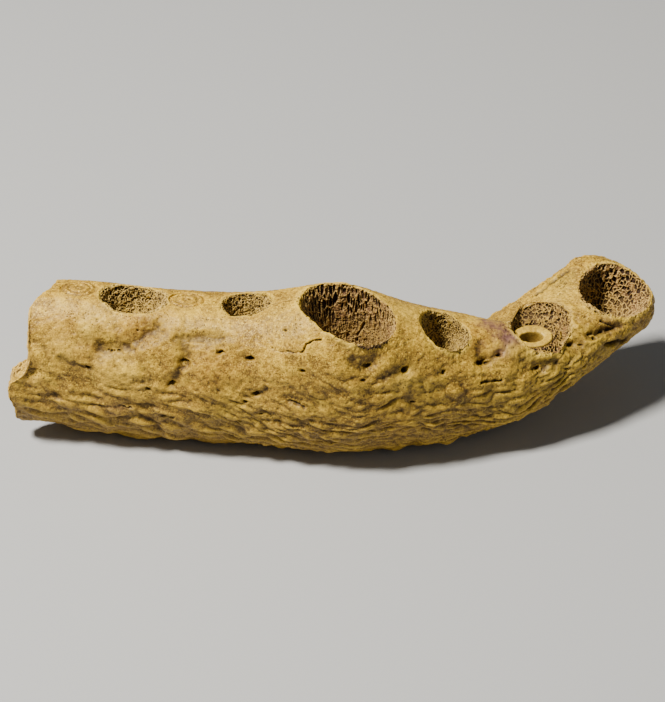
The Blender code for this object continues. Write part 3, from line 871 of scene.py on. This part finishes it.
def ochre_mottle():
    """Fossil bone's blotches of straw, ochre and tan."""
    group, shader, given, out = new_group(
        "ochre_mottle", {"Blotch Scale": 150.0, "Fleck Scale": 1300.0},
        {"Color": "NodeSocketColor", "Fleck": "NodeSocketFloat"},
    )
    place = shader.node("ShaderNodeTexCoord").outputs["Object"]
    blotch = shader.noise(place, given["Blotch Scale"], 5.0, 0.62, 0.6)
    fleck = shader.noise(place, given["Fleck Scale"], 4.0, 0.75)
    colour = shader.blend(shader.ranged(blotch, 0.36, 0.6), TAN, OCHRE)
    colour = shader.blend(shader.ranged(blotch, 0.5, 0.72), colour, STRAW)
    colour = shader.blend(shader.ranged(fleck, 0.54, 0.68, 0.0, 0.7), colour, CREAM)
    colour = shader.blend(shader.ranged(fleck, 0.46, 0.33, 0.0, 0.65), colour, UMBER)
    speck = shader.noise(place, 2600.0, 3.0, 0.7)
    colour = shader.blend(shader.ranged(speck, 0.52, 0.66, 0.0, 0.6), colour, CREAM)
    colour = shader.blend(shader.ranged(speck, 0.48, 0.34, 0.0, 0.6), colour, UMBER)
    shader.join(colour, out["Color"])
    shader.join(fleck, out["Fleck"])
    return group


def pin_pores():
    """Fine pores in the bone's surface: a mask, used to paint shade into them, and a height in
    millimetres.
    """
    group, shader, given, out = new_group(
        "pin_pores", {"Scale": 1300.0, "Amount": 0.6},
        {"Mask": "NodeSocketFloat", "Height": "NodeSocketFloat"},
    )
    place = shader.node("ShaderNodeTexCoord").outputs["Object"]
    cells = shader.node("ShaderNodeTexVoronoi", {"Vector": place, "Scale": given["Scale"]})
    patches = shader.noise(place, 260.0, 2.0)
    wide = shader.ranged(patches, 0.4, 0.7, 0.05, 0.32)
    wide = shader.maths("MULTIPLY", wide, given["Amount"])
    mask = shader.ranged(shader.maths("SUBTRACT", cells.outputs["Distance"], wide), 0.12, 0.0)
    shader.join(mask, out["Mask"])
    shader.join(shader.maths("MULTIPLY", mask, -0.25), out["Height"])
    return group


def surface_grain():
    """The bone's dry, slightly granular surface, as a height in millimetres."""
    group, shader, given, out = new_group(
        "surface_grain", {"Coarse": 0.22, "Fine": 0.12}, {"Height": "NodeSocketFloat"},
    )
    place = shader.node("ShaderNodeTexCoord").outputs["Object"]
    coarse = shader.maths("MULTIPLY", shader.noise(place, 700.0, 3.0), given["Coarse"])
    fine = shader.maths("MULTIPLY", shader.noise(place, 2400.0, 3.0), given["Fine"])
    shader.join(shader.maths("ADD", coarse, fine), out["Height"])
    return group


MOTTLE, PORES, GRAIN = ochre_mottle(), pin_pores(), surface_grain()


def new_material(name):
    material = bpy.data.materials.new(name)
    material.use_nodes = True
    shader = Shader(material.node_tree)
    return material, shader, material.node_tree.nodes["Principled BSDF"]


def add_relief(shader, surface, height, strength):
    bump = shader.node("ShaderNodeBump", {"Height": height, "Distance": MM, "Strength": strength})
    shader.join(bump.outputs["Normal"], surface.inputs["Normal"])


# What tints the bone, in the order of laying on: the colour and its greatest share.
# Keel is painted shade on the underside; lip, crest and strut are painted highlights.
STAIN_TINTS = {
    "keel": (KEEL_SHADE, 0.6), "orange": (ORANGE, 0.6), "olive": (OLIVE, 0.75), "umber": (UMBER, 0.72),
    "lilac": (LILAC, 0.9), "rose": (ROSE, 0.9), "pale": (CREAM, 0.6), "lip": (CREAM, 0.5),
    "crest_highlight": (STRAW, 0.55), "strut_highlight": (STRUT_HIGHLIGHT, 0.75),
}


def bone_material(name):
    material, shader, surface = new_material(name)
    mottle = shader.node("ShaderNodeGroup", node_tree=MOTTLE)
    pores = shader.node("ShaderNodeGroup", node_tree=PORES)
    grain = shader.node("ShaderNodeGroup", node_tree=GRAIN)
    mark = {label: shader.attribute(label) for label in (
        *STAIN_TINTS, "hollow", "crease_shade", "pit", "pore", "marrow")}
    colour = mottle.outputs["Color"]
    for label, (tint, most) in STAIN_TINTS.items():
        colour = shader.blend(shader.maths("MULTIPLY", mark[label], most), colour, tint)
    # Painted shade in the broad hollows and in the fine creases.
    colour = shader.blend(shader.maths("MULTIPLY", mark["hollow"], 0.85), colour, UMBER)
    colour = shader.blend(shader.maths("MULTIPLY", mark["crease_shade"], 0.6), colour, UMBER)
    quiet = shader.maths("SUBTRACT", 1.0, mark["marrow"])
    # Painted shade in the fine pores, the pits and small holes, and the openings, slits and cracks.
    fine_pore_shade = shader.maths("MULTIPLY", pores.outputs["Mask"], quiet)
    colour = shader.blend(shader.maths("MULTIPLY", fine_pore_shade, 0.75), colour, UMBER)
    colour = shader.blend(shader.maths("MULTIPLY", mark["pit"], 0.9), colour, PIT_SHADE)
    colour = shader.blend(shader.maths("MULTIPLY", mark["pore"], 0.9), colour, OPENING_SHADE)
    shader.join(colour, surface.inputs["Base Color"])
    surface.inputs["Specular IOR Level"].default_value = 0.3
    rough = shader.ranged(mottle.outputs["Fleck"], 0.3, 0.7, 0.62, 0.48)
    dull = shader.maths("MAXIMUM", shader.maths("MULTIPLY", mark["hollow"], 0.2),
                        shader.maths("MULTIPLY", mark["marrow"], 0.4))
    shader.join(shader.maths("ADD", rough, dull), surface.inputs["Roughness"])
    height = shader.maths("ADD", grain.outputs["Height"],
                          shader.maths("MULTIPLY", pores.outputs["Height"], quiet))
    add_relief(shader, surface, height, 0.8)
    return material


def plain_root_material(name, tints):
    material, shader, surface = new_material(name)
    grain = shader.node("ShaderNodeGroup", node_tree=GRAIN)
    place = shader.node("ShaderNodeTexCoord").outputs["Object"]
    blotch = shader.noise(place, 300.0, 4.0)
    colour = shader.blend(shader.ranged(blotch, 0.35, 0.65), *tints)
    mottle = shader.node("ShaderNodeGroup", node_tree=MOTTLE)
    colour = shader.blend(0.6, colour, mottle.outputs["Color"])
    # The hollow attribute paints shade into the open root and onto its walls.
    colour = shader.blend(shader.maths("MULTIPLY", shader.attribute("hollow"), 0.7), colour, UMBER)
    shader.join(colour, surface.inputs["Base Color"])
    surface.inputs["Roughness"].default_value = 0.5
    add_relief(shader, surface, grain.outputs["Height"], 0.6)
    return material


# ------------------------------------------------------------- the roots
def root_mesh(name, profile, seat, gap, off_centre=0.0, seed=0):
    """A turned root with a slightly uneven outline. Profile rows are (radius, height, hollow),
    where hollow is the share of painted shade.

    Its inner rows lie off_centre, as a share of the radius, towards the back.
    """
    turns = ROOT_TURNS
    rows = np.array(profile)
    radius, rise, hollow = (np.repeat(rows[:, i], turns) for i in range(3))
    bearing = np.tile(np.arange(turns) / turns * tau, len(rows))
    inner = np.clip(1.0 - radius, 0.0, 1.0)
    wide, deep = seat.along - gap, seat.across - gap
    x = (radius * np.cos(bearing) - off_centre * inner) * wide
    y = radius * np.sin(bearing) * (1.0 - 4.0 * off_centre * inner) - 1.8 * off_centre * inner
    y *= deep
    local = np.stack((x, y, rise), 1)
    uneven = layered_noise(local + seed, 2.4, seed, 2)
    local[:, :2] *= (1.0 - 0.12 / wide * (uneven + 1.0))[:, None]
    local[:, 2] += 0.14 * layered_noise(local, 1.2, seed + 5, 2) - 0.12
    points = local @ socket_axes(seat).T + np.array(seat[:3])
    faces = []
    for row in range(len(rows) - 1):
        for i in range(turns):
            j = (i + 1) % turns
            a, b = row * turns, (row + 1) * turns
            faces.append((a + i, b + i, b + j, a + j))
    faces.append(tuple(range(turns)))
    faces.append(tuple(reversed(range((len(rows) - 1) * turns, len(rows) * turns))))
    mesh = bpy.data.meshes.new(name)
    mesh.from_pydata(to_world(points).tolist(), [], faces)
    # The painted shade of each row.
    write_attribute(mesh, "hollow", hollow)
    bm = bmesh.new()
    bm.from_mesh(mesh)
    bmesh.ops.recalc_face_normals(bm, faces=bm.faces)
    bm.to_mesh(mesh)
    bm.free()
    return link(bpy.data.objects.new(name, mesh))


def ringed_stump(number):
    """The flat broken face of a root, with growth rings."""
    seat = ROOTS[number]
    profile = []
    for i in range(STUMP_ROWS + 1):
        radius = 0.02 + 0.96 * i / STUMP_ROWS
        ring = cos((radius + 0.06 * sin(7.0 * radius + number)) * tau * 2.7)
        height = 0.25 - 0.5 * radius**3 + 0.12 * ring
        # The grooves between the rings get painted shade.
        profile.append((radius, height, 0.6 * max(0.0, -ring)))
    # The walls down into the seat are darkened with painted shade.
    profile += [(1.0, -0.8, 0.4), (0.95, -seat.depth * 0.5, 1.0)]
    profile += [(0.6, -seat.depth + FOOT_GAP, 1.0)]
    piece = root_mesh(f"stump_{number}", profile, seat, -0.3, seed=number)
    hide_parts(f"root_stub_{number}")
    return piece


def hollow_root(number):
    """The open end of a root whose crown is gone."""
    seat = ROOTS[number]
    bottom = -seat.depth + FOOT_GAP
    # Each row's last number is painted shade: full down the open root's bore and on its walls, none
    # on its flat end.
    profile = [(0.05, -4.9, 1.0), (0.3, -4.5, 1.0), (0.46, -3.0, 1.0), (0.56, -1.3, 1.0)]
    profile += [(0.59, -0.6, 0.9), (0.61, -0.2, 0.5), (0.64, -0.03, 0.1), (0.68, 0.0, 0.0)]
    profile += [(0.76, 0.03, 0.0), (0.85, -0.02, 0.1), (0.92, 0.02, 0.0), (0.97, -0.06, 0.1)]
    profile += [(1.0, -0.3, 0.4), (1.02, -0.9, 0.8)]
    profile += [(1.0, bottom * 0.6, 1.0), (0.7, bottom, 1.0)]
    piece = root_mesh(f"open_root_{number}", profile, seat, -0.15, 0.14, number)
    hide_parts(f"tooth_root_{number}")
    return piece


# ------------------------------------------------------------- floor, light and camera
FLOOR_REACH = 3.0


def add_floor():
    mesh = bpy.data.meshes.new("floor")
    corners = ((-1, -1), (1, -1), (1, 1), (-1, 1))
    places = [(x * FLOOR_REACH, y * FLOOR_REACH, 0.0) for x, y in corners]
    mesh.from_pydata(places, [], [(0, 1, 2, 3)])
    floor = link(bpy.data.objects.new("floor", mesh))
    material, _, surface = new_material("pale_paper")
    surface.inputs["Base Color"].default_value = (0.42, 0.415, 0.4, 1.0)
    surface.inputs["Roughness"].default_value = 0.9
    mesh.materials.append(material)


def add_light(name, place, power, size, colour):
    light = bpy.data.lights.new(name, "AREA")
    light.energy = power
    light.size = size
    light.color = colour
    lamp = link(bpy.data.objects.new(name, light))
    lamp.location = place
    lamp.rotation_euler = (-Vector(place)).to_track_quat("-Z", "Y").to_euler()


def add_lights():
    add_light("window", (-0.55, -0.22, 1.0), 33.0, 0.2, (1.0, 0.98, 0.94))
    add_light("fill", (0.7, -0.8, 0.7), 1.2, 0.9, (0.97, 0.98, 1.0))
    world = bpy.data.worlds.new("room")
    world.use_nodes = True
    glow = world.node_tree.nodes["Background"]
    glow.inputs["Color"].default_value = (0.8, 0.85, 0.9, 1.0)
    glow.inputs["Strength"].default_value = 0.11
    bpy.context.scene.world = world


def add_camera():
    view = bpy.data.cameras.new("front_view")
    view.sensor_width = SENSOR_WIDTH
    view.lens = FOCAL_PIXELS / max(FRAME_SIZE) * SENSOR_WIDTH
    view.shift_y = (AIM_PIXEL[1] - FRAME_SIZE[1] / 2) / max(FRAME_SIZE)
    view.clip_start, view.clip_end = 0.01, 20.0
    camera = link(bpy.data.objects.new("front_view", view))
    camera.location = eye_point()
    camera.rotation_euler = (pi / 2 - CAMERA_RISE, 0.0, 0.0)
    bpy.context.scene.camera = camera


def main():
    add_floor()
    add_lights()
    add_camera()
    bone = dress_bone()
    bone.data.materials.append(bone_material("weathered_bone"))
    root = hollow_root(2)
    root.data.materials.append(plain_root_material("old_dentine", (STRAW, CREAM)))
    stump_material = bone_material("worn_root")
    pieces = [bone, root]
    for number in (6, 8):
        stump = ringed_stump(number)
        stump.data.materials.append(stump_material)
        pieces.append(stump)
    for piece in pieces:
        piece.data.shade_smooth()
        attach(piece, "root")


main()
